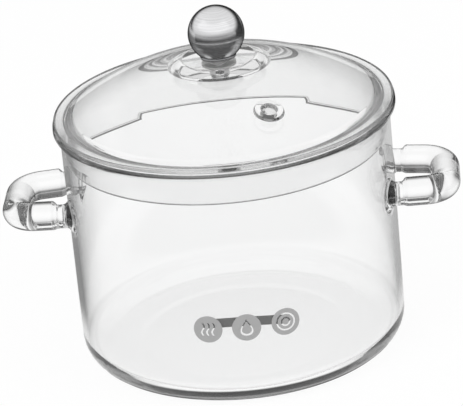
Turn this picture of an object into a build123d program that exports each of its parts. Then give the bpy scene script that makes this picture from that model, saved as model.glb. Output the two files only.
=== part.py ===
"""Clear glass saucepan with two glass loop handles and a domed glass lid with a steel ball knob.

Millimetres, +Z up. The origin is the middle of the surface that the pan stands on, and the handles
lie along X. The front of the pan faces -Y.
"""

import math
import os

from build123d import *

# Pan: outside sizes of the blown glass body
pan_radius = 81.5
pan_height = 124.4
wall = 2.6
base_thickness = 4.0
base_corner = 12.0
inside_corner = 10.0
foot_width = 17.5
base_push_up = 1.6
lip_flare = 3.5
flare_angle = 40.0

# Handles: one bent glass rod on each side, necked and melted to the wall at both ends
handle_height = 82.0
handle_droop = 0.8
handle_projection = 32.3
handle_rod = 14.4
handle_spread = 43.0
handle_tip_spread = 37.0
handle_bend = 11.0
neck_pinch = 1.3
neck_blend = 2.6
weld_fillet = 3.0
weld_sink = 0.1
weld_margin = 0.3

# Lid: one glass piece, thick in the crown, with flange, locating skirt, knob boss and steam vent
lid_seat_gap = 0.3
flange_inset = 1.0
flange_thickness = 2.2
flange_edge = 0.9
flange_root = 3.0
skirt_clearance = 1.0
skirt_thickness = 2.4
skirt_depth = 18.2
skirt_root = 1.2
skirt_edge = 0.9
dome_rise = 23.6
crown_thickness = 7.4
crown_radius = 51.0
crown_edge_thickness = 6.1
band_thickness = 4.8
rim_thickness = 2.7
dome_root = 5.0
boss_rise = 1.0
boss_radius = 18.7
boss_slope = 5.3
boss_edge = 1.2
boss_root = 2.0
seat_radius = 10.5
vent_radius = 3.8
vent_bead_radius = 7.1
vent_bead_rise = 1.0
vent_bead_edge = 0.8
vent_distance = 53.4
vent_direction = -62.0

# Knob: steel ball on a collar, drawn down on the lid by a screw from below
ball_radius = 13.9
ball_wall = 0.8
ball_edge = 0.5
ball_mouth_radius = 6.5
ball_sink = 9.7
collar_radius = 8.9
collar_height = 1.6
collar_waist = 0.35
seal_inset = 0.2
seal_thickness = 0.9
sleeve_wall = 1.1
sleeve_end_gap = 2.2
lower_seal_radius = 8.5
lower_seal_thickness = 1.2
washer_radius = 7.5
washer_thickness = 1.0
washer_chamfer = 0.25
insert_flange_thickness = 1.6
insert_flange_gap = 0.25
insert_boss_radius = 4.8
insert_boss_height = 11.0
insert_chamfer = 0.4
screw_radius = 2.5
screw_reach = 8.0
screw_head_radius = 4.8
screw_head_height = 2.8
screw_head_crown = 0.9
recess_span = 5.2
recess_slot = 1.1
recess_depth = 1.6

# Fits
sleeve_gap = 0.2
screw_gap = 0.15
thread_gap = 0.05
thread_run_out = 0.8
mouth_gap = 0.05

# Pan: places worked out from the sizes above
flare_turn = math.radians(flare_angle)
lip_bead = wall / 2
lip_radius = pan_radius + lip_flare
lip_overhang = lip_flare - lip_bead
flare_radius = (lip_overhang + lip_bead * math.cos(flare_turn)) / (1 - math.cos(flare_turn))
flare_start = pan_height - lip_bead - (flare_radius + lip_bead) * math.sin(flare_turn)
flare_centre = (pan_radius + flare_radius, flare_start)
pan_bore = pan_radius - wall
foot_outer_radius = pan_radius - base_corner
foot_inner_radius = foot_outer_radius - foot_width


def on_flare(radius):
    """Point of the section where the flare of that radius ends at the lip."""
    return (
        flare_centre[0] - radius * math.cos(flare_turn),
        flare_centre[1] + radius * math.sin(flare_turn),
    )


lip_centre = on_flare(flare_radius + lip_bead)
lip_crest = (
    lip_centre[0] + lip_bead * math.sin(flare_turn),
    lip_centre[1] + lip_bead * math.cos(flare_turn),
)

# Lid: places worked out from the pan that it sits on
flange_radius = lip_radius - flange_inset
flange_bottom = pan_height + lid_seat_gap
flange_top = flange_bottom + flange_thickness
skirt_outer = pan_bore - skirt_clearance
skirt_inner = skirt_outer - skirt_thickness
skirt_bottom = flange_bottom - skirt_depth
dome_top = flange_top + dome_rise
dome_radius = (skirt_outer**2 + dome_rise**2) / (2 * dome_rise)
dome_centre = dome_top - dome_radius
boss_top = dome_top + boss_rise


def on_dome(distance):
    """Point of the section on the outside of the dome, at a distance from the axis."""
    return (distance, dome_centre + math.sqrt(dome_radius**2 - distance**2))


def under_dome(distance, thickness):
    """Point of the section below the outside of the dome, by a thickness measured straight down."""
    return (distance, on_dome(distance)[1] - thickness)


boss_foot = on_dome(boss_radius + boss_slope)
crown_rim = under_dome(crown_radius, crown_edge_thickness)
band_middle = under_dome((crown_radius + skirt_inner) / 2, band_thickness)
band_rim = under_dome(skirt_inner, rim_thickness)
crown_top = dome_top - crown_thickness
crown_fall = crown_top - crown_rim[1]
crown_curve = (crown_radius**2 + crown_fall**2) / (2 * crown_fall)


def on_crown(distance):
    """Point of the section on the hollow underside of the crown."""
    return (distance, crown_top - crown_curve + math.sqrt(crown_curve**2 - distance**2))


boss_bottom = on_crown(seat_radius)[1]
boss_thickness = boss_top - boss_bottom

# Knob: places stacked up from the boss, and down from its underside
seal_radius = collar_radius - seal_inset
sleeve_length = boss_thickness - sleeve_end_gap
sleeve_radius = screw_radius + screw_gap + sleeve_wall
lid_hole = sleeve_radius + sleeve_gap
collar_bottom = boss_top + seal_thickness
ball_bottom = collar_bottom + collar_height
ball_centre = ball_bottom + ball_sink
ball_inner = ball_radius - ball_wall
insert_bottom = ball_bottom + ball_wall
washer_top = boss_bottom - lower_seal_thickness
head_top = washer_top - washer_thickness
head_bottom = head_top - screw_head_height
screw_clearance = screw_radius + screw_gap
thread_bore = screw_radius + thread_gap
inner_foot = math.sqrt(ball_inner**2 - (ball_centre - insert_bottom) ** 2)
outer_foot = math.sqrt(ball_radius**2 - ball_sink**2)
insert_flange_radius = inner_foot - insert_flange_gap

# Pan body: floor pushed up in the middle, straight wall, flared lip with a rounded edge
with BuildPart() as pan_body:
    with BuildSketch(Plane.XZ):
        with BuildLine():
            TangentArc((0, base_push_up), (foot_inner_radius, 0), tangent=(1, 0))
            Line((foot_inner_radius, 0), (foot_outer_radius, 0))
            CenterArc((foot_outer_radius, base_corner), base_corner, -90, 90)
            Line((pan_radius, base_corner), (pan_radius, flare_start))
            CenterArc(flare_centre, flare_radius, 180, -flare_angle)
            ThreePointArc(on_flare(flare_radius), lip_crest, on_flare(flare_radius + wall))
            CenterArc(flare_centre, flare_radius + wall, 180 - flare_angle, flare_angle)
            Line((pan_bore, flare_start), (pan_bore, base_thickness + inside_corner))
            CenterArc((pan_bore - inside_corner, base_thickness + inside_corner), inside_corner, 0, -90)
            Line((pan_bore - inside_corner, base_thickness), (foot_inner_radius, base_thickness))
            TangentArc(
                (0, base_thickness + base_push_up), (foot_inner_radius, base_thickness), tangent=(1, 0)
            )
            Line((0, base_thickness + base_push_up), (0, base_push_up))
        make_face()
    revolve(axis=Axis.Z)

# Handles: places worked out from the wall that they are melted to
rod_radius = handle_rod / 2
neck_radius = rod_radius - neck_pinch
loop_root = math.sqrt(pan_radius**2 - (handle_spread / 2) ** 2)
loop_tip = pan_radius + handle_projection - rod_radius
tip_height = handle_height - handle_droop
arm_run = Vector(loop_tip - loop_root, (handle_tip_spread - handle_spread) / 2, tip_height - handle_height)
wall_normal = Vector(loop_root, handle_spread / 2, 0)
arm_tilt = math.radians(arm_run.get_angle(wall_normal))
weld_spread = weld_fillet / math.tan((math.pi / 2 - arm_tilt) / 2)
neck_length = weld_spread + neck_radius * math.tan(arm_tilt) + weld_margin
rod_start = neck_length + neck_blend

# Handles: a rod bent into a flat loop, with a neck and a melted fillet where each end meets the wall
with BuildPart() as right_handle:
    near_root = Vector(loop_root, -handle_spread / 2, handle_height)
    near_tip = Vector(loop_tip, -handle_tip_spread / 2, tip_height)
    far_tip = Vector(loop_tip, handle_tip_spread / 2, tip_height)
    far_root = Vector(loop_root, handle_spread / 2, handle_height)
    near_arm = (near_tip - near_root).normalized()
    far_arm = (far_tip - far_root).normalized()
    with BuildLine() as loop:
        FilletPolyline(
            near_root + near_arm * rod_start,
            near_tip,
            far_tip,
            far_root + far_arm * rod_start,
            radius=handle_bend,
        )
    with BuildSketch(Plane(origin=loop.line @ 0, z_dir=loop.line % 0)):
        Circle(rod_radius)
    sweep()
    for root, arm in ((near_root, near_arm), (far_root, far_arm)):
        with BuildSketch(Plane(origin=root, x_dir=arm, z_dir=arm.cross(Vector(0, 0, 1)))):
            with BuildLine():
                Line((-handle_rod, 0), (rod_start, 0))
                Line((rod_start, 0), (rod_start, rod_radius))
                Spline(
                    (rod_start, rod_radius), (neck_length, neck_radius), tangents=((-1, 0), (-1, 0))
                )
                Line((neck_length, neck_radius), (-handle_rod, neck_radius))
                Line((-handle_rod, neck_radius), (-handle_rod, 0))
            make_face()
        revolve(axis=Axis(root, arm))
    with BuildSketch():
        Circle(pan_radius - weld_sink)
    extrude(amount=pan_height)
    fillet(right_handle.edges(Select.NEW), weld_fillet)
    with BuildSketch():
        Circle(pan_radius)
    extrude(amount=pan_height, mode=Mode.SUBTRACT)

with BuildPart() as left_handle:
    mirror(right_handle.part, about=Plane.YZ)

# Lid glass: dome and flange over a skirt that drops into the mouth, with a raised boss for the knob
with BuildPart() as lid_glass:
    with BuildSketch(Plane.XZ) as lid_section:
        with BuildLine():
            Polyline((lid_hole, boss_bottom), (lid_hole, boss_top), (boss_radius, boss_top), boss_foot)
            ThreePointArc(boss_foot, on_dome(vent_distance), (skirt_outer, flange_top))
            Polyline(
                (skirt_outer, flange_top),
                (flange_radius, flange_top),
                (flange_radius, flange_bottom),
                (skirt_outer, flange_bottom),
                (skirt_outer, skirt_bottom),
                (skirt_inner, skirt_bottom),
                band_rim,
            )
            ThreePointArc(band_rim, band_middle, crown_rim)
            ThreePointArc(crown_rim, on_crown(crown_radius / 2), (seat_radius, boss_bottom))
            Line((seat_radius, boss_bottom), (lid_hole, boss_bottom))
        make_face()
        for corner, rounding in (
            ((boss_radius, boss_top), boss_edge),
            (boss_foot, boss_root),
            ((skirt_outer, flange_top), flange_root),
            ((flange_radius, flange_top), flange_edge),
            ((flange_radius, flange_bottom), flange_edge),
            ((skirt_outer, flange_bottom), skirt_root),
            ((skirt_outer, skirt_bottom), skirt_edge),
            ((skirt_inner, skirt_bottom), skirt_edge),
            (band_rim, dome_root),
        ):
            fillet(lid_section.vertices().sort_by_distance(corner)[0], rounding)
    revolve(axis=Axis.Z)
    vent_turn = math.radians(vent_direction)
    vent_lean = math.asin(vent_distance / dome_radius)
    vent_axis = Vector(
        math.sin(vent_lean) * math.cos(vent_turn),
        math.sin(vent_lean) * math.sin(vent_turn),
        math.cos(vent_lean),
    )
    vent_plane = Plane(origin=Vector(0, 0, dome_centre) + vent_axis * dome_radius, z_dir=vent_axis)
    with BuildSketch(vent_plane.offset(vent_bead_rise)):
        Circle(vent_bead_radius)
    extrude(amount=-(vent_bead_rise + rim_thickness / 2))
    bead_top = lid_glass.faces().sort_by_distance(vent_plane.offset(vent_bead_rise).origin)[0]
    fillet(bead_top.edges(), vent_bead_edge)
    with BuildSketch(vent_plane.offset(vent_bead_rise)):
        Circle(vent_radius)
    extrude(amount=-2 * (vent_bead_rise + crown_thickness), mode=Mode.SUBTRACT)

# Knob ball: drawn steel shell with a flat, open bottom
with BuildPart() as knob_ball:
    with BuildSketch(Plane.XZ) as ball_section:
        with BuildLine():
            ThreePointArc(
                (outer_foot, ball_bottom), (ball_radius, ball_centre), (0, ball_centre + ball_radius)
            )
            Line((0, ball_centre + ball_radius), (0, ball_centre + ball_inner))
            ThreePointArc(
                (0, ball_centre + ball_inner), (ball_inner, ball_centre), (inner_foot, insert_bottom)
            )
            Polyline(
                (inner_foot, insert_bottom),
                (ball_mouth_radius, insert_bottom),
                (ball_mouth_radius, ball_bottom),
                (outer_foot, ball_bottom),
            )
        make_face()
        fillet(ball_section.vertices().sort_by_distance((outer_foot, ball_bottom))[0], ball_edge)
    revolve(axis=Axis.Z)

# Threaded insert: plugs the mouth of the ball and takes the screw in a blind hole
with BuildPart() as thread_insert:
    with BuildSketch(Plane.XY.offset(ball_bottom)):
        Circle(ball_mouth_radius - mouth_gap)
    extrude(amount=ball_wall)
    with BuildSketch(Plane.XY.offset(insert_bottom)):
        Circle(insert_flange_radius)
    extrude(amount=insert_flange_thickness)
    with BuildSketch(Plane.XY.offset(insert_bottom)):
        Circle(insert_boss_radius)
    extrude(amount=insert_boss_height)
    chamfer(thread_insert.faces().sort_by(Axis.Z)[-1].edges(), insert_chamfer)
    with BuildSketch(Plane.XY.offset(ball_bottom)):
        Circle(thread_bore)
    extrude(amount=screw_reach + thread_run_out, mode=Mode.SUBTRACT)

# Knob collar: turned steel ring with a shallow waist between ball and seal
with BuildPart() as knob_collar:
    with BuildSketch(Plane.XZ):
        with BuildLine():
            Line((screw_clearance, collar_bottom), (collar_radius, collar_bottom))
            ThreePointArc(
                (collar_radius, collar_bottom),
                (collar_radius - collar_waist, collar_bottom + collar_height / 2),
                (collar_radius, ball_bottom),
            )
            Line((collar_radius, ball_bottom), (screw_clearance, ball_bottom))
            Line((screw_clearance, ball_bottom), (screw_clearance, collar_bottom))
        make_face()
    revolve(axis=Axis.Z)

# Upper seal: silicone washer with a sleeve that lines the hole in the glass
with BuildPart() as upper_seal:
    with BuildSketch(Plane.XY.offset(boss_top)):
        Circle(seal_radius)
    extrude(amount=seal_thickness)
    with BuildSketch(Plane.XY.offset(boss_top)):
        Circle(sleeve_radius)
    extrude(amount=-sleeve_length)
    with BuildSketch(Plane.XY.offset(collar_bottom)):
        Circle(screw_clearance)
    extrude(amount=-(seal_thickness + sleeve_length), mode=Mode.SUBTRACT)

# Lower seal and steel washer between the glass and the screw head
with BuildPart() as lower_seal:
    with BuildSketch(Plane.XY.offset(washer_top)):
        Circle(lower_seal_radius)
        Circle(screw_clearance, mode=Mode.SUBTRACT)
    extrude(amount=lower_seal_thickness)

with BuildPart() as steel_washer:
    with BuildSketch(Plane.XY.offset(head_top)):
        Circle(washer_radius)
        Circle(screw_clearance, mode=Mode.SUBTRACT)
    extrude(amount=washer_thickness)
    outer_rims = steel_washer.edges().filter_by(GeomType.CIRCLE).sort_by(SortBy.RADIUS)[-2:]
    chamfer(outer_rims, washer_chamfer)

# Knob screw: pan head with a cross recess, driven up through the boss into the insert
with BuildPart() as knob_screw:
    with BuildSketch(Plane.XZ):
        with BuildLine():
            Line((0, head_bottom), (0, ball_bottom + screw_reach))
            Line((0, ball_bottom + screw_reach), (screw_radius, ball_bottom + screw_reach))
            Line((screw_radius, ball_bottom + screw_reach), (screw_radius, head_top))
            Line((screw_radius, head_top), (screw_head_radius, head_top))
            Line((screw_head_radius, head_top), (screw_head_radius, head_bottom + screw_head_crown))
            TangentArc(
                (0, head_bottom), (screw_head_radius, head_bottom + screw_head_crown), tangent=(1, 0)
            )
        make_face()
    revolve(axis=Axis.Z)
    with BuildSketch(Plane.XY.offset(head_bottom)):
        Rectangle(recess_span, recess_slot)
        Rectangle(recess_slot, recess_span)
    extrude(amount=recess_depth, mode=Mode.SUBTRACT)

pieces = {
    "pan_body": pan_body,
    "right_handle": right_handle,
    "left_handle": left_handle,
    "lid_glass": lid_glass,
    "knob_ball": knob_ball,
    "thread_insert": thread_insert,
    "knob_collar": knob_collar,
    "upper_seal": upper_seal,
    "lower_seal": lower_seal,
    "steel_washer": steel_washer,
    "knob_screw": knob_screw,
}
os.makedirs("parts", exist_ok=True)
for name, piece in pieces.items():
    piece.part.label = name
    export_step(piece.part, f"parts/{name}.step")
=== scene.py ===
"""Clear glass saucepan with two loop handles, a domed glass lid and a brushed ball knob, in a white studio.

The glass sections are written in millimetres, as the pan is drawn, and become metres in the meshes.
"""

import math

import bmesh
import bpy
import numpy as np
from mathutils import Matrix, Vector
from mathutils.geometry import delaunay_2d_cdt


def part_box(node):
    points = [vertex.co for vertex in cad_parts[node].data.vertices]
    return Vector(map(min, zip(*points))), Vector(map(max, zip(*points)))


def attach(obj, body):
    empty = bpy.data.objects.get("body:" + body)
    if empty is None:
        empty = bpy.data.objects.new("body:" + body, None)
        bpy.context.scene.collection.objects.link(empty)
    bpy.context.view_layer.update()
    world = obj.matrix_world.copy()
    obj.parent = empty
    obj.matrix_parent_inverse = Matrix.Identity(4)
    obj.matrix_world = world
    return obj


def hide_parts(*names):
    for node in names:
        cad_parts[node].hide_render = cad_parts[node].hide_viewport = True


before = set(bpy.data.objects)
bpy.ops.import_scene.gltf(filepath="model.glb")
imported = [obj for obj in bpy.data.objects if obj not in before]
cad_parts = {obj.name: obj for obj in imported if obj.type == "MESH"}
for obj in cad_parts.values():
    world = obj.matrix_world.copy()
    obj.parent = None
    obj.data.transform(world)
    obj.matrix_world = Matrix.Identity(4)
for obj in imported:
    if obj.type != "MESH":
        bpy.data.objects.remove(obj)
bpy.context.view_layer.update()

MM = 0.001

# Pan sizes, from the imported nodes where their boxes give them
pan_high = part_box("pan_body")[1]
lip_radius = pan_high.x / MM
pan_height = pan_high.z / MM
lip_flare = 3.5
pan_radius = lip_radius - lip_flare
wall = 2.6
pan_bore = pan_radius - wall
base_thickness = 4.0
base_corner = 12.0
inside_corner = 10.0
foot_outer_radius = pan_radius - base_corner
foot_width = 17.5
foot_inner_radius = foot_outer_radius - foot_width
base_push_up = 1.6
lip_bead = wall / 2
flare_angle = 40.0

# Handle sizes
handle_projection = 32.3
handle_height = 82.0
handle_droop = 0.8
rod_radius = 7.2
loop_tip = pan_radius + handle_projection - rod_radius
handle_spread = 43.0
handle_tip_spread = 37.0
handle_bend = 11.0
neck_radius = 5.9
neck_drop = 0.7
neck_blend = 2.6
neck_margin = 0.2
weld_fillet = 3.0
weld_sag = 1.1

# Lid sizes; seal_gap is the film of air between the glass and each seal
lid_low, lid_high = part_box("lid_glass")
seal_gap = 0.04
flange_radius = lid_high.x / MM
skirt_bottom = lid_low.z / MM
boss_top = lid_high.z / MM - seal_gap
lid_seat_gap = 0.3
flange_bottom = pan_height + lid_seat_gap
flange_thickness = 2.2
flange_top = flange_bottom + flange_thickness
skirt_clearance = 1.0
skirt_outer = pan_bore - skirt_clearance
skirt_thickness = 2.4
skirt_inner = skirt_outer - skirt_thickness
dome_rise = 23.6
dome_top = flange_top + dome_rise
dome_radius = (skirt_outer**2 + dome_rise**2) / (2 * dome_rise)
dome_centre = dome_top - dome_radius
crown_thickness = 7.4
crown_radius = 51.0
crown_edge_thickness = 6.1
band_thickness = 4.8
rim_thickness = 2.7
boss_radius = 18.7
boss_slope = 5.3
seat_radius = 10.5
lid_hole = 3.95
vent_radius = 3.8
vent_bead_radius = 7.1
vent_bead_rise = 1.0
vent_bead_root = 0.7
vent_bead_edge = 0.6
vent_bead_margin = 2.2
vent_edge = 0.5
vent_distance = 53.4
vent_turn = math.radians(-62.0)
vent_lean = math.asin(vent_distance / dome_radius)
vent_axis = (
    math.sin(vent_lean) * math.cos(vent_turn),
    math.sin(vent_lean) * math.sin(vent_turn),
    math.cos(vent_lean),
)

# Printed roundels low on the front wall, and the printed bar under the base
roundel_radius = 7.0
roundel_height = 43.0
roundel_turns = (-8.2, 4.9, 18.3)
stroke = 0.8
wave_reach = 3.3
wave_spacing = 2.5
wave_swing = 0.7
drop_size = 4.4
drop_stroke = 1.3 * stroke
ring_radii = (4.7, 2.4)
bar_length = 46.0
bar_width = 11.0
bar_place = (0.0, 8.0)
print_lift = 0.03
print_thickness = 0.04

# Depth of the waves in the glass
glass_ripple = 0.02

# Openings left in the turned glass round the welds and the vent: half size, and half turn in degrees
weld_opening_reach = 22.0
weld_opening_turn = 27.0
vent_opening_reach = 13.0
vent_opening_turn = 15.0

# How finely the glass and the prints are meshed
COLUMNS = 256
ROD_SIDES = 48
NECK_RINGS = 9
ARM_RINGS = 5
BEND_RINGS = 15
TIP_RINGS = 4
WELD_RINGS = 8
EDGE_RINGS = 5
SECTION_PITCH = 2.4
VENT_PITCH = 0.7
WALL_FILL = 2.6
DOME_FILL = 1.6
PRINT_FILL = 1.2
TINY = 1e-6


class Value:
    """A shader socket that takes part in arithmetic; each operation adds a Math node."""

    def __init__(self, shade, socket):
        self.shade = shade
        self.socket = socket

    def math(self, operation, first, second):
        return self.shade.node("ShaderNodeMath", {"operation": operation}, {0: first, 1: second})

    def __add__(self, other):
        return self.math("ADD", self, other)

    __radd__ = __add__

    def __sub__(self, other):
        return self.math("SUBTRACT", self, other)

    def __rsub__(self, other):
        return self.math("SUBTRACT", other, self)

    def __mul__(self, other):
        return self.math("MULTIPLY", self, other)

    __rmul__ = __mul__

    def __truediv__(self, other):
        return self.math("DIVIDE", self, other)

    def __gt__(self, other):
        return self.math("GREATER_THAN", self, other)

    def __lt__(self, other):
        return self.math("LESS_THAN", self, other)

    def __abs__(self):
        return self.math("ABSOLUTE", self, 0.0)

    def at_least(self, other):
        return self.math("MAXIMUM", self, other)

    def at_most(self, other):
        return self.math("MINIMUM", self, other)

    def rising(self, low, high):
        """Smooth step from 0 at low to 1 at high."""
        return self.shade.node(
            "ShaderNodeMapRange",
            {"interpolation_type": "SMOOTHSTEP"},
            {"Value": self, "From Min": low, "From Max": high},
        )


class Shade:
    """The nodes of one material or of the world."""

    def __init__(self, tree):
        self.tree = tree
        tree.nodes.clear()

    def node(self, kind, settings=None, sockets=None, output=0):
        """Adds a node with its settings, then its sockets' values or links, and gives one output."""
        made = self.tree.nodes.new(kind)
        for name, value in (settings or {}).items():
            setattr(made, name, value)
        for key, value in (sockets or {}).items():
            if isinstance(value, Value):
                self.tree.links.new(value.socket, made.inputs[key])
            else:
                made.inputs[key].default_value = value
        return Value(self, made.outputs[output]) if made.outputs else None

    def mix(self, factor, first, second):
        """Colour between two colours."""
        return self.node("ShaderNodeMix", {"data_type": "RGBA"}, {0: factor, 6: first, 7: second}, 2)

    def place(self, scale):
        """Object coordinates, stretched along the axes."""
        return self.node(
            "ShaderNodeMapping",
            None,
            {"Vector": self.node("ShaderNodeTexCoord", output="Object"), "Scale": scale},
        )

    def noise(self, scale, detail=2.0, roughness=0.5):
        return self.node(
            "ShaderNodeTexNoise",
            None,
            {"Vector": self.place(scale), "Scale": 1.0, "Detail": detail, "Roughness": roughness},
        )

    def bump(self, height, strength, distance):
        return self.node(
            "ShaderNodeBump", None, {"Height": height, "Strength": strength, "Distance": distance}
        )

    def parts(self, vector):
        """The three numbers of a vector."""
        return [self.node("ShaderNodeSeparateXYZ", None, {0: vector}, axis) for axis in "XYZ"]

    def vector(self, operation, *vectors):
        """Vector maths: a length or a dot product gives a number, any other operation a vector."""
        output = "Value" if operation in ("LENGTH", "DOT_PRODUCT") else "Vector"
        return self.node("ShaderNodeVectorMath", {"operation": operation}, dict(enumerate(vectors)), output)

    def facing(self):
        """0 where a surface is seen square on, rising to 1 where it is seen edge on."""
        return self.node("ShaderNodeLayerWeight", None, {"Blend": 0.5}, "Facing")

    def surface(self, shader, output="ShaderNodeOutputMaterial"):
        self.node(output, None, {"Surface": shader})

    def principled(self, sockets):
        self.surface(self.node("ShaderNodeBsdfPrincipled", None, sockets))


def grey(level):
    return (level, level, level, 1)


def new_material(name):
    made = bpy.data.materials.new(name)
    made.use_nodes = True
    return made, Shade(made.node_tree)


def rod_painted_shade(shade, place):
    """Share of painted shade in the handles' solid rods: a dark tint where they are seen edge on, standing
    in for the dark their edges refract.
    """
    x, _, _ = shade.parts(place)
    start = pan_radius + 2.0
    rods = abs(x).rising(start * MM, (start + 2.0) * MM)
    # Painted shade: the rods' base colour goes dark where they are seen edge on
    return rods * shade.facing().rising(0.55, 0.8) * 0.9


def vent_painted_shade(shade, place):
    """Share of painted shade round the vent: dark rings at the mouth of its hole and the foot of its bead,
    standing in for the dark these edges refract.
    """
    spot = shade.vector("SUBTRACT", place, (0, 0, dome_centre * MM))
    reach = shade.vector("LENGTH", shade.vector("CROSS_PRODUCT", spot, vent_axis)) / MM
    along = shade.vector("DOT_PRODUCT", spot, vent_axis) / MM
    outer_side = along > dome_radius - 1.6
    hole = 1.0 - reach.rising(vent_radius + 0.2, vent_radius + 0.5)
    foot = reach.rising(vent_bead_radius - 0.4, vent_bead_radius - 0.2)
    foot = foot * (1.0 - reach.rising(vent_bead_radius + 0.2, vent_bead_radius + 0.5))
    # Painted shade: dark rings tinted into the glass at the hole's mouth and the bead's foot
    return (hole * 0.85 + foot * 0.75) * outer_side


def clear_glass(name, wave_scale, edge_shade_painter):
    """Water-clear glass with the faint waves of its forming, a breath of tint, and painted shade: a dark
    tint at the edges that the given share marks.
    """
    made, shade = new_material(name)
    waves = shade.noise(wave_scale, 1.0)
    tint = shade.mix(shade.noise((25, 25, 25)), (0.988, 0.99, 0.99, 1), (0.996, 0.997, 0.997, 1))
    dark = edge_shade_painter(shade, shade.node("ShaderNodeTexCoord", output="Object"))
    shade.principled(
        {
            # Painted shade: the base colour goes nearly black where the edge share is high
            "Base Color": shade.mix(dark, tint, grey(0.05)),
            "Roughness": 0.0,
            "IOR": 1.47,
            "Transmission Weight": 1.0,
            "Normal": shade.bump(waves, 1.0, glass_ripple * MM),
        }
    )
    return made


def brushed_steel(name, dark, bright, metal, roughness, streak_scale, streak_depth):
    """Steel brushed in rings round the upright axis, with a painted dark rim: its nearly black edge tint
    makes it darker where it is seen edge on.
    """
    made, shade = new_material(name)
    broad = shade.noise((12, 12, streak_scale * 0.35), 3.0, 0.6)
    fine = shade.noise((45, 45, streak_scale * 1.6), 3.0, 0.6)
    streak = broad * 0.45 + fine * 0.55
    shade.principled(
        {
            "Base Color": shade.mix(streak.rising(0.32, 0.68), dark, bright),
            "Metallic": metal,
            # Painted shade: a nearly black edge tint darkens the rim where the steel is seen edge on
            "Specular Tint": grey(0.06),
            "Roughness": streak * 0.12 + (roughness - 0.06),
            "Anisotropic": 0.65,
            "Anisotropic Rotation": 0.25,
            "Normal": shade.bump(streak, 1.0, streak_depth * MM),
        }
    )
    return made


def silicone(name, body, dusty):
    """Silicone with a dusty bloom."""
    made, shade = new_material(name)
    bloom = shade.noise((900, 900, 900), 3.0)
    shade.principled(
        {
            "Base Color": shade.mix(bloom, body, dusty),
            "Roughness": bloom * 0.2 + 0.3,
            "Normal": shade.bump(bloom, 0.4, 0.02 * MM),
        }
    )
    return made


def screen_print(name, thin, full):
    """Fired enamel print, a little uneven where the screen laid it down."""
    made, shade = new_material(name)
    lay = shade.noise((1400, 1400, 1400), 2.0)
    shade.principled({"Base Color": shade.mix(lay, thin, full), "Roughness": lay * 0.2 + 0.35})
    return made


pan_glass = clear_glass("pan_clear_glass", (30, 30, 12), rod_painted_shade)
lid_clear = clear_glass("lid_clear_glass", (28, 28, 28), vent_painted_shade)
knob_steel = brushed_steel(
    "knob_brushed_steel", (0.78, 0.78, 0.79, 1), (0.96, 0.96, 0.97, 1), 1.0, 0.16, 2400, 0.006
)
# Painted shade: the collar is the ball's steel made much darker, standing in for the dark it reflects
collar_steel_painted_dark = brushed_steel(
    "collar_polished_steel_painted_dark", (0.28, 0.28, 0.29, 1), (0.42, 0.42, 0.43, 1), 1.0, 0.14, 3000, 0.002
)
turned_steel = brushed_steel(
    "matt_turned_steel", (0.78, 0.78, 0.79, 1), (0.86, 0.86, 0.87, 1), 0.35, 0.45, 3200, 0.004
)
milky_silicone = silicone("milky_silicone", (0.92, 0.92, 0.91, 1), (0.97, 0.97, 0.96, 1))
# Painted shadow: the upper seal is smoky grey to give the dark line under the collar's foot
smoky_silicone_painted_shadow = silicone("smoky_silicone_painted_shadow", grey(0.18), grey(0.25))
grey_print = screen_print("roundel_grey", grey(0.30), grey(0.36))
dark_print = screen_print("bar_black", grey(0.02), grey(0.035))


class Shell:
    """A closed surface under construction: points with their normals, in millimetres, and faces."""

    def __init__(self):
        self.points = []
        self.normals = []
        self.faces = []

    def add(self, point, normal):
        self.points.append(np.array(point, float))
        normal = np.array(normal, float)
        self.normals.append(normal / np.linalg.norm(normal))
        return len(self.points) - 1

    def ring(self, points, normals):
        return [self.add(p, n) for p, n in zip(points, normals)]

    def band(self, first, second):
        """Quads between two closed rings of the same count."""
        count = len(first)
        for i in range(count):
            j = (i + 1) % count
            self.faces.append((first[i], first[j], second[j], second[i]))

    def piece(self, name, material):
        """Blender object of this shell, smooth, with the normals that its surfaces were worked out with."""
        mesh = bpy.data.meshes.new(name)
        mesh.from_pydata([tuple(p * MM) for p in self.points], [], [list(f) for f in self.faces])
        whole = bmesh.new()
        whole.from_mesh(mesh)
        bmesh.ops.recalc_face_normals(whole, faces=whole.faces)
        whole.to_mesh(mesh)
        whole.free()
        mesh.shade_smooth()
        mesh.normals_split_custom_set_from_vertices([tuple(n) for n in self.normals])
        mesh.materials.append(material)
        made = bpy.data.objects.new(name, mesh)
        bpy.context.collection.objects.link(made)
        return made


def straight(start, end):
    """Straight stretch of a section: its length, and its point and heading at a distance along it."""
    start = np.array(start, float)
    end = np.array(end, float)
    length = np.linalg.norm(end - start)
    heading = (end - start) / length
    return length, lambda distance: (start + heading * distance, heading)


def arc(centre, radius, start, end):
    """Round stretch of a section about a centre, between two angles in degrees."""
    turn = math.copysign(1.0, end - start)

    def place(distance):
        angle = math.radians(start) + turn * distance / radius
        out = np.array((math.cos(angle), math.sin(angle)))
        return np.array(centre, float) + radius * out, turn * np.array((-out[1], out[0]))

    return radius * math.radians(abs(end - start)), place


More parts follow.
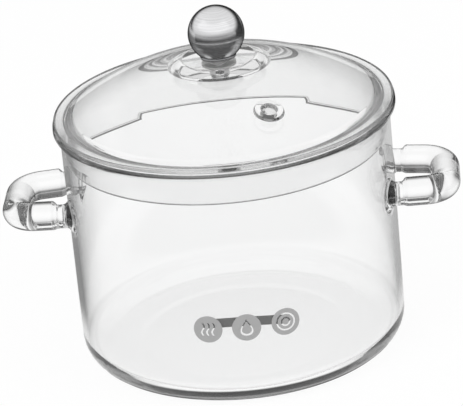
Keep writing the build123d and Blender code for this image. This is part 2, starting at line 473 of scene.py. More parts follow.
def section(stretches, roundings, pitch, closed=False):
    """Points and headings along joined stretches, each corner rounded off over its distance.

    A rounding of 0 marks stretches that already meet smoothly.
    """
    points = []
    headings = []
    corner_steps = 6
    corner_pull = 0.56
    count = len(stretches)
    for i, (length, place) in enumerate(stretches):
        before = roundings[i - 1] if i or closed else 0.0
        after = roundings[i] if i < count - 1 or closed else 0.0
        run = length - before - after
        steps = max(1, math.ceil(run / pitch))
        last = not closed and i == count - 1
        for k in range(steps + (1 if last or after else 0)):
            point, heading = place(before + run * k / steps)
            points.append(point)
            headings.append(heading)
        if not after:
            continue
        start, leaving = place(length - after)
        end, arriving = stretches[(i + 1) % count][1](after)
        reach = corner_pull * after
        handles = (start, start + leaving * reach, end - arriving * reach, end)
        for k in range(1, corner_steps):
            point, heading = curve_at(handles, k / corner_steps)
            points.append(point)
            headings.append(heading / np.linalg.norm(heading))
    return np.array(points), np.array(headings)


def curve_at(handles, share):
    """Point and heading at a share of a cubic curve with four handles."""
    a, b, c, d = handles
    rest = 1 - share
    point = rest**3 * a + 3 * rest**2 * share * b + 3 * rest * share**2 * c + share**3 * d
    heading = 3 * rest**2 * (b - a) + 6 * rest * share * (c - b) + 3 * share**2 * (d - c)
    return point, heading


def turned(shell, points, headings, closed, gaps=()):
    """Turns a section about the axis. Each gap is (rows, columns), both ranges, whose quads are left out."""
    grid = []
    angles = [2 * math.pi * k / COLUMNS for k in range(COLUMNS)]
    for (r, z), (along_r, along_z) in zip(points, headings):
        if r < TINY:
            grid.append([shell.add((0, 0, z), (0, 0, -along_r))] * COLUMNS)
            continue
        grid.append(
            shell.ring(
                [(r * math.cos(a), r * math.sin(a), z) for a in angles],
                [(along_z * math.cos(a), along_z * math.sin(a), -along_r) for a in angles],
            )
        )
    left_out = {(row, column % COLUMNS) for rows, columns in gaps for row in rows for column in columns}
    count = len(grid)
    for row in range(count if closed else count - 1):
        lower = grid[row]
        upper = grid[(row + 1) % count]
        for column in range(COLUMNS):
            if (row, column) in left_out:
                continue
            beside = (column + 1) % COLUMNS
            corners = [lower[column], lower[beside], upper[beside], upper[column]]
            shell.faces.append(tuple(dict.fromkeys(corners)))
    return grid


def gap_edge(grid, rows, columns):
    """Points round a gap in a turned grid, in order."""
    first, last = rows[0], rows[-1] + 1
    left, right = columns[0], columns[-1] + 1
    edge = [grid[first][c % COLUMNS] for c in range(left, right)]
    edge += [grid[r][right % COLUMNS] for r in range(first, last)]
    edge += [grid[last][c % COLUMNS] for c in range(right, left, -1)]
    edge += [grid[r][left % COLUMNS] for r in range(last, first, -1)]
    return edge


def within(point, polygon):
    """True where a flat point lies inside a polygon."""
    inside = False
    x, y = point
    for (ax, ay), (bx, by) in zip(polygon, polygon[1:] + polygon[:1]):
        if (ay > y) != (by > y) and x < ax + (y - ay) * (bx - ax) / (by - ay):
            inside = not inside
    return inside


def triangulate(loops, flat):
    """Triangles over flat places, the first of which are those of the loops, whose sides stay edges.

    Gives the places, where each came from, and the triangles with their middles.
    """
    joins = []
    for loop in loops:
        start = len(joins)
        joins += [(start + k, start + (k + 1) % len(loop)) for k in range(len(loop))]
    made, _, triangles, origins, _, _ = delaunay_2d_cdt([Vector(p) for p in flat], joins, [], 0, 1e-7)
    middles = [sum((made[i] for i in triangle), Vector((0, 0))) / 3 for triangle in triangles]
    return made, origins, list(zip(triangles, middles))


def fill(shell, edge, rings, flatten, curve, spacing):
    """Closes a gap in a turned surface up to the rings of what stands on it.

    flatten gives the flat place of a point, and curve the point and normal at a flat place.
    """
    edge_flat = [flatten(shell.points[i]) for i in edge]
    rings_flat = [[flatten(shell.points[i]) for i in ring] for ring in rings]
    flat = edge_flat + [place for ring in rings_flat for place in ring]
    index = list(edge) + [i for ring in rings for i in ring]
    taken = np.array(flat)
    low = taken.min(axis=0)
    width, height = taken.max(axis=0) - low
    across = max(2, round(width / spacing))
    upward = max(2, round(height / spacing))
    stagger = 0.25
    margin = 0.6 * spacing
    for k in range(1, upward):
        for j in range(1, across):
            shift = stagger * (-1) ** k
            place = (low[0] + (j + shift) * width / across, low[1] + k * height / upward)
            near = np.hypot(*(taken - place).T).min() < margin
            if near or any(within(place, ring) for ring in rings_flat):
                continue
            flat.append(place)
            index.append(shell.add(*curve(place)))
    _, origins, triangles = triangulate([edge_flat] + rings_flat, flat)
    for triangle, middle in triangles:
        if not any(within(middle, ring) for ring in rings_flat):
            shell.faces.append(tuple(index[origins[i][0]] for i in triangle))


def turn_between(angle, middle):
    """Angle measured from a middle one, within half a turn."""
    return (angle - middle + math.pi) % (2 * math.pi) - math.pi


def pan_section():
    """Section of the pan from the middle of its underside, over the lip, to the middle of its floor."""
    flare_turn = math.radians(flare_angle)
    flare_radius = (lip_flare - lip_bead + lip_bead * math.cos(flare_turn)) / (1 - math.cos(flare_turn))
    flare_start = pan_height - lip_bead - (flare_radius + lip_bead) * math.sin(flare_turn)
    flare_centre = (pan_radius + flare_radius, flare_start)
    lip_centre = (
        flare_centre[0] - (flare_radius + lip_bead) * math.cos(flare_turn),
        flare_centre[1] + (flare_radius + lip_bead) * math.sin(flare_turn),
    )
    under = push_up_arc(0.0)
    floor = push_up_arc(base_thickness)
    floor_edge = base_thickness + inside_corner
    stretches = [
        arc(under[0], under[1], 90, 90 - under[2]),
        straight((foot_inner_radius, 0), (foot_outer_radius, 0)),
        arc((foot_outer_radius, base_corner), base_corner, -90, 0),
        straight((pan_radius, base_corner), (pan_radius, flare_start)),
        arc(flare_centre, flare_radius, 180, 180 - flare_angle),
        arc(lip_centre, lip_bead, -flare_angle, 180 - flare_angle),
        arc(flare_centre, flare_radius + wall, 180 - flare_angle, 180),
        straight((pan_bore, flare_start), (pan_bore, floor_edge)),
        arc((pan_bore - inside_corner, floor_edge), inside_corner, 0, -90),
        straight((pan_bore - inside_corner, base_thickness), (foot_inner_radius, base_thickness)),
        arc(floor[0], floor[1], 90 - floor[2], 90),
    ]
    return section(stretches, [0.0] * (len(stretches) - 1), SECTION_PITCH)


def push_up_arc(height):
    """Centre, radius and turn in degrees of the shallow push-up of the base, over its flat ring."""
    radius = (foot_inner_radius**2 + base_push_up**2) / (2 * base_push_up)
    turn = math.degrees(math.asin(foot_inner_radius / radius))
    return (0, height + base_push_up - radius), radius, turn


def unit(vector):
    return vector / np.linalg.norm(vector)


class Weld:
    """The melted foot of one handle arm: its curves run from the neck out on to the wall."""

    def __init__(self, root, arm, upward):
        self.root = root
        self.arm = arm
        self.upward = upward
        self.beside = np.cross(arm, upward)

    def out(self, turn):
        return math.cos(turn) * self.upward + math.sin(turn) * self.beside

    def handles(self, turn):
        """Four handles of the foot's curve at a turn round the arm."""
        out = self.out(turn)
        start = self.root + out * neck_radius - self.upward * neck_drop
        a = self.arm[0] ** 2 + self.arm[1] ** 2
        b = start[0] * self.arm[0] + start[1] * self.arm[1]
        c = start[0] ** 2 + start[1] ** 2 - pan_radius**2
        meet = start + self.arm * ((-b + math.sqrt(b * b - a * c)) / a)
        normal = unit(np.array((meet[0], meet[1], 0.0)))
        spread = unit(out - normal * out.dot(normal))
        opening = math.acos(self.arm.dot(spread))
        reach = weld_fillet / math.tan(opening / 2)
        spill = reach * (1 + weld_sag * max(0.0, -out[2]) ** 2)
        around = math.atan2(meet[1], meet[0])
        tangent = np.array((-normal[1], normal[0], 0.0))

        def along_wall(distance):
            angle = around + distance * spread.dot(tangent) / pan_radius
            return np.array(
                (pan_radius * math.cos(angle), pan_radius * math.sin(angle), meet[2] + distance * spread[2])
            )

        near = 0.42
        inner = meet + self.arm * reach * near
        return meet + self.arm * reach, inner, along_wall(spill * near), along_wall(spill)

    def point(self, turn, share):
        return curve_at(self.handles(turn), share)[0]

    def normal(self, turn, share):
        step = 1e-3
        if share > 1 - step:
            point = self.point(turn, 1.0)
            return np.array((point[0], point[1], 0.0))
        along = self.point(turn, share + step) - self.point(turn, share)
        round_it = self.point(turn + step, share) - self.point(turn - step, share)
        normal = np.cross(along, round_it)
        return normal * math.copysign(1.0, normal.dot(self.out(turn) + self.arm))


def rod_rings(weld, tip, neck_length):
    """Rings along the near half of the bent rod, from its neck to the middle of the loop.

    Each is a centre, a heading, a radius, and how the surface leans: the radius's slope and the centre's.
    """
    across = np.array((0.0, 1.0, 0.0))
    bend = math.acos(weld.arm.dot(across))
    trim = handle_bend * math.tan(bend / 2)
    rod_start = neck_length + neck_blend
    rod_end = np.linalg.norm(tip - weld.root) - trim
    pinch = rod_radius - neck_radius
    rings = []
    for share in np.linspace(0, 1, NECK_RINGS):
        ease = share * share * (3 - 2 * share)
        steep = 6 * share * (1 - share) / neck_blend
        along = neck_length + neck_blend * share
        centre = weld.root + weld.arm * along - weld.upward * neck_drop * (1 - ease)
        rings.append((centre, weld.arm, neck_radius + pinch * ease, pinch * steep, neck_drop * steep))
    for along in np.linspace(rod_start, rod_end, ARM_RINGS)[1:-1]:
        rings.append((weld.root + weld.arm * along, weld.arm, rod_radius, 0.0, 0.0))
    side = unit(weld.arm * weld.arm.dot(across) - across)
    centre = weld.root + weld.arm * rod_end - side * handle_bend
    for angle in np.linspace(0, bend, BEND_RINGS):
        spoke = side * math.cos(angle) + weld.arm * math.sin(angle)
        heading = weld.arm * math.cos(angle) - side * math.sin(angle)
        rings.append((centre + spoke * handle_bend, heading, rod_radius, 0.0, 0.0))
    for share in np.linspace(1, 0, TIP_RINGS)[1:]:
        rings.append((tip + across * (trim - (tip[1] + trim) * (1 - share)), across, rod_radius, 0.0, 0.0))
    return rings


def add_handle(shell, mirror):
    """Adds one handle's rod and welds, and gives the rings where the welds run out on the wall."""
    other = np.array((1.0, -1.0, 1.0))
    flip = np.array((mirror, 1.0, 1.0))
    root = np.array((math.sqrt(pan_radius**2 - (handle_spread / 2) ** 2), -handle_spread / 2, handle_height))
    tip = np.array((loop_tip, -handle_tip_spread / 2, handle_height - handle_droop))
    arm = unit(tip - root)
    upward = unit(np.cross(arm, (0.0, 1.0, 0.0)))
    turns = [2 * math.pi * k / ROD_SIDES for k in range(ROD_SIDES)]
    welds = [Weld(root, arm, upward), Weld(root * other, arm * other, upward)]
    neck_length = neck_margin + max((welds[0].point(t, 0.0) - root).dot(arm) for t in turns)
    half = rod_rings(welds[0], tip, neck_length)
    rest = [(c * other, -h * other, r, -slope, -fall) for c, h, r, slope, fall in reversed(half[:-1])]
    tube = []
    for centre, heading, radius, slope, fall in half + rest:
        beside = np.cross(heading, upward)
        outs = [math.cos(t) * upward + math.sin(t) * beside for t in turns]
        tube.append(
            shell.ring(
                [(centre + out * radius) * flip for out in outs],
                [(out - heading * (slope + fall * out.dot(upward))) * flip for out in outs],
            )
        )
    for first, second in zip(tube, tube[1:]):
        shell.band(first, second)
    feet = []
    for weld, neck, direction in ((welds[0], tube[0], 1), (welds[1], tube[-1], -1)):
        above = neck
        for share in np.linspace(0, 1, WELD_RINGS + 1):
            ring = shell.ring(
                [weld.point(direction * t, share) * flip for t in turns],
                [weld.normal(direction * t, share) * flip for t in turns],
            )
            shell.band(above, ring)
            above = ring
        feet.append(above)
    return feet


def make_pan():
    """Pan and handles as the one piece of glass that they are once melted together."""
    shell = Shell()
    points, headings = pan_section()
    rows = [
        k
        for k in range(len(points) - 1)
        if abs(points[k][0] - pan_radius) < TINY
        and all(abs(points[i][1] - handle_height) < weld_opening_reach for i in (k, k + 1))
    ]
    rows = range(rows[0], rows[-1] + 1)
    half = round(COLUMNS * weld_opening_turn / 360)
    middles = {1: 0, -1: COLUMNS // 2}
    gaps = {side: (rows, range(middle - half, middle + half)) for side, middle in middles.items()}
    grid = turned(shell, points, headings, False, gaps.values())
    for side, (rows, columns) in gaps.items():
        feet = add_handle(shell, side)
        middle = 0.0 if side > 0 else math.pi

        def flatten(point):
            return pan_radius * turn_between(math.atan2(point[1], point[0]), middle), point[2]

        def curve(place):
            angle = middle + place[0] / pan_radius
            out = np.array((math.cos(angle), math.sin(angle), 0.0))
            return out * pan_radius + np.array((0, 0, place[1])), out

        fill(shell, gap_edge(grid, rows, columns), feet, flatten, curve, WALL_FILL)
    return shell.piece("glass_pan", pan_glass)


def on_dome(distance):
    """Point of the section on the outside of the dome, at a distance from the axis."""
    return np.array((distance, dome_centre + math.sqrt(dome_radius**2 - distance**2)))


def under_dome(distance, thickness):
    """Point of the section below the outside of the dome, by a thickness measured straight down."""
    return on_dome(distance) - np.array((0, thickness))


def arc_through(start, middle, end):
    """Round stretch of a section through three points, the middle one above the line between the others."""
    rows = 2 * np.array((middle - start, end - start))
    centre = np.linalg.solve(rows, (middle.dot(middle) - start.dot(start), end.dot(end) - start.dot(start)))
    first, last = (math.degrees(math.atan2(*(point - centre)[::-1])) for point in (start, end))
    return arc(centre, np.linalg.norm(start - centre), first, last)


def lid_section():
    """Section of the lid, under the dome from the knob's hole outwards and back over it.

    Each side is written with the rounding of the corner at its end.
    """
    crown_rim = under_dome(crown_radius, crown_edge_thickness)
    band_middle = under_dome((crown_radius + skirt_inner) / 2, band_thickness)
    band_rim = under_dome(skirt_inner, rim_thickness)
    crown_fall = dome_top - crown_thickness - crown_rim[1]
    crown_curve = (crown_radius**2 + crown_fall**2) / (2 * crown_fall)
    crown_centre = dome_top - crown_thickness - crown_curve
    crown_turn = 90 - math.degrees(math.asin(crown_radius / crown_curve))
    seat_turn = 90 - math.degrees(math.asin(seat_radius / crown_curve))
    seat = np.array((seat_radius, crown_centre + math.sqrt(crown_curve**2 - seat_radius**2) + seal_gap))
    boss_foot = on_dome(boss_radius + boss_slope)
    dome_turns = [90 - math.degrees(math.asin(r / dome_radius)) for r in (skirt_outer, boss_foot[0])]
    sides = [
        (straight((lid_hole, seat[1]), seat), 1.0),
        (arc((0, crown_centre), crown_curve, seat_turn, crown_turn), 1.6),
        (arc_through(crown_rim, band_middle, band_rim), 3.4),
        (straight(band_rim, (skirt_inner, skirt_bottom)), 1.0),
        (straight((skirt_inner, skirt_bottom), (skirt_outer, skirt_bottom)), 1.0),
        (straight((skirt_outer, skirt_bottom), (skirt_outer, flange_bottom)), 1.2),
        (straight((skirt_outer, flange_bottom), (flange_radius, flange_bottom)), 0.9),
        (straight((flange_radius, flange_bottom), (flange_radius, flange_top)), 0.9),
        (straight((flange_radius, flange_top), (skirt_outer, flange_top)), 2.2),
        (arc((0, dome_centre), dome_radius, *dome_turns), 1.6),
        (straight(boss_foot, (boss_radius, boss_top)), 1.0),
        (straight((boss_radius, boss_top), (lid_hole, boss_top)), 0.4),
        (straight((lid_hole, boss_top), (lid_hole, seat[1])), 0.4),
    ]
    stretches, roundings = zip(*sides)
    return section(stretches, roundings, SECTION_PITCH, closed=True)


class Dome:
    """One surface of the dome, read off the lid's section between two distances from the axis."""

    def __init__(self, points, headings, rows):
        self.rows = rows
        order = sorted(range(rows[0], rows[-1] + 2), key=lambda k: points[k][0])
        self.distances = points[order, 0]
        self.heights = points[order, 1]
        self.headings = headings[order]

    def at(self, distance, angle):
        """Point and normal of the surface at a distance and an angle round the axis."""
        height = np.interp(distance, self.distances, self.heights)
        along_r, along_z = (np.interp(distance, self.distances, self.headings[:, k]) for k in (0, 1))
        out = np.array((math.cos(angle), math.sin(angle), 0.0))
        return out * distance + np.array((0, 0, height)), out * along_z - np.array((0, 0, along_r))

    def below(self, point, axis):
        """Point and normal where a line along an axis meets the surface."""
        for _ in range(8):
            foot, normal = self.at(math.hypot(point[0], point[1]), math.atan2(point[1], point[0]))
            point = point + axis * ((foot - point).dot(normal) / axis.dot(normal))
        return point, normal


def vent_rings(shell, underside):
    """Adds the vent's bead and hole, and gives its rings on the outer and the inner dome."""
    axis = np.array(vent_axis)
    first = unit(np.cross((0, 0, 1), axis))
    second = np.cross(axis, first)
    centre = np.array((0, 0, dome_centre))
    turns = [2 * math.pi * k / ROD_SIDES for k in range(ROD_SIDES)]
    spokes = [first * math.cos(t) + second * math.sin(t) for t in turns]
    margin = vent_bead_radius + vent_bead_margin
    bead_foot = math.sqrt(dome_radius**2 - vent_bead_radius**2)
    bead_top = dome_radius + vent_bead_rise
    angles = [90 - math.degrees(math.asin(r / dome_radius)) for r in (margin, vent_bead_radius)]
    stretches = [
        arc((0, 0), dome_radius, *angles),
        straight((vent_bead_radius, bead_foot), (vent_bead_radius, bead_top)),
        straight((vent_bead_radius, bead_top), (vent_radius, bead_top)),
        straight((vent_radius, bead_top), (vent_radius, dome_radius - rim_thickness / 2)),
    ]
    points, headings = section(stretches, [vent_bead_root, vent_bead_edge, vent_bead_edge], VENT_PITCH)
    rings = [
        shell.ring(
            [centre + spoke * d + axis * h for spoke in spokes],
            [spoke * along_h - axis * along_d for spoke in spokes],
        )
        for (d, h), (along_d, along_h) in zip(points, headings)
    ]
    depth = dome_radius - crown_edge_thickness
    for angle in np.linspace(0, math.pi / 2, EDGE_RINGS):
        radius = vent_radius + vent_edge * (1 - math.cos(angle))
        lift = vent_edge * (1 - math.sin(angle))
        feet = [underside.below(centre + spoke * radius + axis * depth, axis) for spoke in spokes]
        rings.append(
            shell.ring(
                [foot + axis * lift for foot, _ in feet],
                [n * math.sin(angle) - spoke * math.cos(angle) for spoke, (_, n) in zip(spokes, feet)],
            )
        )
    for above, below in zip(rings, rings[1:]):
        shell.band(above, below)
    return rings[0], rings[-1]


def make_lid():
    """Glass lid with its flange, skirt, knob boss and beaded vent."""
    shell = Shell()
    points, headings = lid_section()
    half = math.radians(vent_opening_turn)
    first_column = math.floor((vent_turn - half) / (2 * math.pi) * COLUMNS)
    columns = range(first_column, first_column + math.ceil(2 * half / (2 * math.pi) * COLUMNS) + 1)
    lowest = flange_top + 1.0

    def near_vent(point):
        return abs(point[0] - vent_distance) < vent_opening_reach and point[1] > lowest

    domes = []
    for side in (-1, 1):
        rows = [
            k
            for k in range(len(points) - 1)
            if near_vent(points[k]) and near_vent(points[k + 1]) and headings[k][0] * side > 0
        ]
        domes.append(Dome(points, headings, range(rows[0], rows[-1] + 1)))
    grid = turned(shell, points, headings, True, [(dome.rows, columns) for dome in domes])
    for dome, ring in zip(domes, vent_rings(shell, domes[1])):

        def flatten(point):
            turn = turn_between(math.atan2(point[1], point[0]), vent_turn)
            return vent_distance * turn, math.hypot(point[0], point[1])

        def curve(place):
            return dome.at(place[1], vent_turn + place[0] / vent_distance)

        fill(shell, gap_edge(grid, dome.rows, columns), [ring], flatten, curve, DOME_FILL)
    return shell.piece("glass_lid", lid_clear)


def circle(radius):
    turns = np.linspace(0, 2 * math.pi, 64, endpoint=False)
    return [(radius * math.cos(t), radius * math.sin(t)) for t in turns]


def wave(middle):
    """Outline of an upright wavy stroke."""
    heights = np.linspace(-wave_reach, wave_reach, 24)
    centres = [middle + wave_swing * math.sin(math.pi * h / wave_reach) for h in heights]
    left = [(c - stroke / 2, h) for c, h in zip(centres, heights)]
    right = [(c + stroke / 2, h) for c, h in zip(centres, heights)]
    return left + right[::-1]


def drop(size):
    """Outline of a drop with its point up."""
    turns = np.linspace(0, 2 * math.pi, 48, endpoint=False)
    return [(size * math.sin(t) * math.sin(t / 2) ** 1.5, size * math.cos(t)) for t in turns]


def bar(length, width):
    """Outline of a bar with round ends."""
    shift = (length - width) / 2
    ends = np.linspace(-math.pi / 2, math.pi / 2, 16)
    right = [(shift + width / 2 * math.cos(t), width / 2 * math.sin(t)) for t in ends]
    return right + [(-x, -y) for x, y in right]


def make_print(name, loops, curve, material):
    """Thin print, filled where a flat place lies inside an odd number of its loops.

    curve gives the point and normal of a flat place at a lift off the glass.
    """
    flat = [place for loop in loops for place in loop]
    edge = np.array(flat)
    low, high = edge.min(axis=0), edge.max(axis=0)
    for x in np.arange(low[0], high[0], PRINT_FILL):
        for y in np.arange(low[1], high[1], PRINT_FILL):
            if np.hypot(*(edge - (x, y)).T).min() > PRINT_FILL / 2:
                flat.append((x, y))
    made, _, triangles = triangulate(loops, flat)
    shell = Shell()
    lifts = (print_lift, print_lift + print_thickness)
    back, front = ([shell.add(*curve(p, lift)) for p in made] for lift in lifts)
    sides = {}
    for triangle, middle in triangles:
        if sum(within(middle, loop) for loop in loops) % 2 == 0:
            continue
        shell.faces.append(tuple(front[i] for i in triangle))
        shell.faces.append(tuple(back[i] for i in reversed(triangle)))
        for a, b in zip(triangle, triangle[1:] + triangle[:1]):
            sides[frozenset((a, b))] = None if frozenset((a, b)) in sides else (a, b)
    for side in sides.values():
        if side:
            a, b = side
            shell.faces.append((front[a], front[b], back[b], back[a]))
    return shell.piece(name, material)


def on_wall(turn):
    """Curve for a print on the outside of the wall, its middle at a turn from the front."""

    def curve(place, lift):
        angle = math.radians(turn) + place[0] / pan_radius
        out = np.array((math.sin(angle), -math.cos(angle), 0.0))
        return out * (pan_radius + lift) + np.array((0, 0, roundel_height + place[1])), out

    return curve


def under_base(place, lift):
    """Curve for a print on the underside of the base."""
    centre, radius, _ = push_up_arc(0.0)
    x, y = place[0] + bar_place[0], place[1] + bar_place[1]
    return (x, y, centre[1] + math.sqrt(radius**2 - x * x - y * y) - lift), (0.0, 0.0, -1.0)


glass_pan = make_pan()
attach(glass_pan, "pan")
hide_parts("pan_body", "left_handle", "right_handle")

glass_lid = make_lid()
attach(glass_lid, "lid")
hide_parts("lid_glass")

# Prints: three grey roundels with clear motifs, and a plain dark bar
motifs = {
    "roundel_waves": [wave(k * wave_spacing) for k in (-1, 0, 1)],
    "roundel_drop": [drop(drop_size), drop(drop_size - drop_stroke)],
    "roundel_rings": [circle(radius - inset) for radius in ring_radii for inset in (0.0, stroke)],
}
for (name, motif), turn in zip(motifs.items(), roundel_turns):
    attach(make_print(name, [circle(roundel_radius)] + motif, on_wall(turn), grey_print), "pan")
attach(make_print("base_bar", [bar(bar_length, bar_width)], under_base, dark_print), "pan")

# Finishes of the knob and its fixing, with painted shade in the collar's dark steel and the upper seal's
# smoky grey
node_finish = {
    "knob_ball": knob_steel,
    "knob_collar": collar_steel_painted_dark,
    "thread_insert": turned_steel,
    "steel_washer": turned_steel,
    "knob_screw": turned_steel,
    # Painted shadow: the smoky upper seal makes the dark line under the collar
    "upper_seal": smoky_silicone_painted_shadow,
    "lower_seal": milky_silicone,
}
for name, finish in node_finish.items():
    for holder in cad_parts[name].material_slots:
        holder.material = finish


# Studio: pale floor and white surround, with grey and dark cards that only glass and metal see
class Path:
    """How a ray came: mirrored once, a few times or many, straight through glass, or to light a surface.

    faces counts the glass faces that it went through, and outside means none.
    """

    def __init__(self, shade):
        kind = "ShaderNodeLightPath"
        self.camera = shade.node(kind, output="Is Camera Ray")
        mirrored = shade.node(kind, output="Is Glossy Ray")
        refracted = shade.node(kind, output="Is Transmission Ray")
        self.seen = (self.camera + mirrored + refracted).at_most(1.0)
        self.lighting = shade.node(kind, output="Diffuse Depth") > 0.5
        mirrors = shade.node(kind, output="Glossy Depth")
        looking = 1.0 - self.lighting
        self.once = (mirrors > 0.5) * (mirrors < 1.5) * looking
        self.again = (mirrors > 1.5) * (mirrors < 5.5) * looking
        self.trapped = (mirrors > 5.5) * looking
        self.lost = (mirrors > 13.5) * looking
        self.straight = (mirrors < 0.5) * looking
        self.faces = shade.node(kind, output="Transmission Depth")
        self.outside = self.faces < 0.5
        self.through_rod = (self.faces > 0.5) * (self.faces < 2.5) * self.straight


def make_floor():
    """Pale floor with the pan's shadow; the cards laid on it are seen only by way of glass or metal."""
    made, shade = new_material("studio_floor")
    path = Path(shade)
    place = shade.node("ShaderNodeNewGeometry", output="Position")
    x, y, _ = shade.parts(place)
    distance = shade.vector("LENGTH", place)
    side = abs(x)
    beside = (side / distance).rising(0.3, 0.7)
    behind = y.rising(-0.03, 0.05)
    far = distance.rising(0.34, 0.4)
    clear_of_pan = distance.rising(0.085, 0.12)
    deep = path.faces > 2.5

    # Mirrored once: cards behind the pan, in front of it, round its foot and under its middle
    far_back = (0.78 - distance.rising(0.9, 1.5) * 0.5).at_least(beside * x.rising(-0.1, 0.1) * 0.95)
    near_back = 0.7 - x.rising(-0.2, 0.2) * 0.3
    back_card = clear_of_pan * (near_back * (1.0 - far) + far * far_back)
    foot_line = distance.rising(0.062, 0.065) * (1.0 - distance.rising(0.0755, 0.0775)) * 0.97
    front_far = far * (0.96 - path.outside * distance.rising(0.4, 2.5) * 0.45)
    front_sheet = clear_of_pan * front_far.at_least((path.faces > 0.5) * 0.53)
    front_deep = deep * distance.rising(0.01, 0.04) * 0.93
    front_card = foot_line.at_least(front_sheet).at_least(front_deep)
    middle_card = deep * (1.0 - distance.rising(0.045, 0.06)) * 0.93
    once_card = (behind * back_card + (1.0 - behind) * front_card).at_least(middle_card)

    # Mirrored more often
    again_card = distance.rising(0.08, 0.1) * (0.97 - distance.rising(0.16, 0.26) * 0.6)
    again_card = again_card.at_least(path.outside * 0.95).at_least(deep * 0.85)
    trapped_card = 0.15 + beside * 0.45
    cards = path.once * once_card + path.again * again_card + path.trapped * trapped_card + path.lost * 0.55

    # Seen straight through a rod, by rays that fell to the floor from the height of the handles
    under_handle = side.rising(0.078, 0.09) * (1.0 - side.rising(0.125, 0.15)) * y.rising(-0.1, -0.06)
    rod_card = under_handle * ((0.04 - y) * 30.0).at_least(0.0).at_most(0.92)
    rod_dusk = rod_card.at_least(distance.rising(0.2, 0.9) * 0.8)
    fall = shade.node("ShaderNodeLightPath", output="Ray Length") * (1.0 - shade.facing())
    from_handle = fall.rising(0.055, 0.065) * (1.0 - fall.rising(0.1, 0.115))
    rod_shade = path.through_rod * from_handle * rod_dusk

    # Seen straight through the lid's skirt and the wall: a strip far behind the pan
    through_skirt = path.straight * (path.faces > 4.5)
    skirt_card = behind * distance.rising(0.72, 0.8) * (1.0 - distance.rising(1.3, 1.5)) * 0.95

    shown = 1.0 - cards.at_least(rod_shade).at_least(through_skirt * skirt_card)
    glow = shade.mix(shown, grey(0.0), grey(1.0))
    paint = shade.mix(shown, grey(0.0), grey(0.9))
    matt = shade.node("ShaderNodeBsdfDiffuse", None, {"Color": paint})
    white = shade.node("ShaderNodeEmission", None, {"Color": glow, "Strength": 1.0})
    shade.surface(shade.node("ShaderNodeMixShader", None, {0: path.seen * 0.94, 1: matt, 2: white}))
    mesh = bpy.data.meshes.new("floor")
    reach = 60.0
    low = -0.0003
    corners = [(-reach, -reach, low), (reach, -reach, low), (reach, reach, low), (-reach, reach, low)]
    mesh.from_pydata(corners, [], [(0, 1, 2, 3)])
    mesh.materials.append(made)
    floor = bpy.data.objects.new("floor", mesh)
    bpy.context.collection.objects.link(floor)


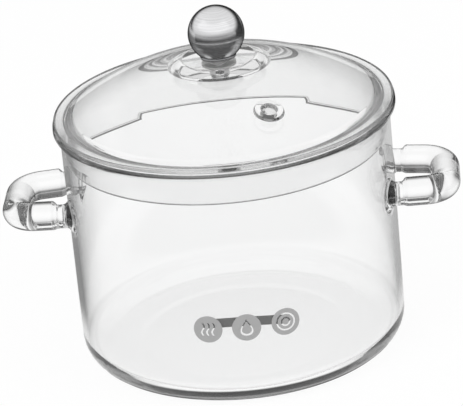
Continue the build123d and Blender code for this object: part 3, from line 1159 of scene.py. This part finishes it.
def make_surround():
    """White surround; what the glass and metal see of it has dark strips, sides and a horizon."""
    world = bpy.data.worlds.new("studio")
    world.use_nodes = True
    bpy.context.scene.world = world
    shade = Shade(world.node_tree)
    path = Path(shade)
    direction = shade.node("ShaderNodeTexCoord", output="Generated")
    x, y, height = shade.parts(direction)
    around = x.math("ARCTAN2", y, x)
    lamp_side = (-0.17, -0.98, 0)
    front = shade.vector("DOT_PRODUCT", direction, lamp_side)

    # Seen straight through the rods, and through the wall
    strip_count = 6.0
    upright = x.math("COSINE", around * strip_count, 0.0).rising(0.1, 0.7)
    rod_view = 1.0 - height.rising(-0.12, 0.1) * 0.86 - height.rising(0.1, 0.4) * 0.1 + upright * 0.15
    card = height.rising(0.02, 0.16) * (1.0 - height.rising(0.5, 0.75) * 0.8)
    wall_view = 1.0 - card * (0.94 - upright * 0.55)
    straight_view = path.through_rod * rod_view + (1.0 - path.through_rod) * wall_view

    # Mirrored in the inner faces of the glass
    deep = path.faces > 4.5
    sideways = abs(x).rising(0.6, 0.95)
    side_dark = 1.0 - sideways * 0.85
    overhead = height.rising(0.12, 0.28) * (1.0 - deep) + height.rising(0.55, 0.9) * deep * 0.6
    inner_view = overhead * side_dark * 0.92 + 0.08

    # Mirrored in the outer faces of the glass and in the knob
    tent = (height + front.at_most(0.0) * 0.4 - front.at_least(0.0) * 0.1 - x * 0.03).rising(-0.2, 0.24)
    front_lamp = height.rising(0.3, 0.45) * (1.0 - height.rising(0.74, 0.88)) * front.rising(-0.1, 0.3)
    outer_view = tent * (0.8 + front_lamp * 0.2) + 0.03

    once_view = path.outside * outer_view + (1.0 - path.outside) * inner_view
    again_view = (1.0 - path.outside) * (inner_view * 0.6 + 0.08) + 0.03
    trapped_view = path.trapped * (0.8 - sideways * 0.5) - path.lost * 0.55
    mirror_view = path.once * once_view + path.again * again_view + trapped_view
    glass_view = mirror_view + path.straight * straight_view
    level = path.camera + path.lighting * 0.75 + (1.0 - path.camera) * (1.0 - path.lighting) * glass_view
    shade.surface(
        shade.node("ShaderNodeBackground", None, {"Color": shade.mix(level, grey(0.0), grey(1.0))}),
        "ShaderNodeOutputWorld",
    )


def make_lamp(name, place, watts):
    """Soft round lamp, aimed at the pan, that is not itself seen."""
    aim = (0, 0, 0.08)
    data = bpy.data.lights.new(name, "AREA")
    data.shape = "DISK"
    data.size = 0.9
    data.energy = watts
    lamp = bpy.data.objects.new(name, data)
    bpy.context.collection.objects.link(lamp)
    lamp.location = place
    lamp.rotation_mode = "QUATERNION"
    lamp.rotation_quaternion = (Vector(aim) - Vector(place)).to_track_quat("-Z", "Y")
    lamp.visible_camera = False
    lamp.visible_glossy = False
    lamp.visible_transmission = False


def make_camera():
    """Camera of the photograph: a long lens, a little above and right of the front, held at a slant."""
    middle = Vector((0, 0, 0.060))
    azimuth, elevation, roll = (math.radians(a) for a in (4.3, 23.825, 5.606))
    distance = 1.5957
    aim_up, aim_left = 0.0120, 0.0006
    level = math.cos(elevation)
    back = Vector((math.sin(azimuth) * level, -math.cos(azimuth) * level, math.sin(elevation)))
    right = Vector((math.cos(azimuth), math.sin(azimuth), 0))
    up = back.cross(right)
    spot = middle + back * distance
    aim = middle + up * aim_up - right * aim_left
    data = bpy.data.cameras.new("camera")
    data.lens = 248.14
    data.sensor_width = 36.0
    camera = bpy.data.objects.new("camera", data)
    bpy.context.collection.objects.link(camera)
    camera.location = spot
    camera.rotation_mode = "QUATERNION"
    camera.rotation_quaternion = (
        (aim - spot).to_track_quat("-Z", "Y") @ Matrix.Rotation(-roll, 4, "Z").to_quaternion()
    )
    bpy.context.scene.camera = camera


make_floor()
make_surround()
make_lamp("key_lamp", (-0.6, -0.9, 1.2), 9.0)
make_lamp("fill_lamp", (0.9, -0.5, 1.0), 5.0)
make_camera()

scene = bpy.context.scene
scene.view_settings.view_transform = "Standard"
scene.cycles.max_bounces = 64
scene.cycles.transmission_bounces = 64
scene.cycles.glossy_bounces = 64
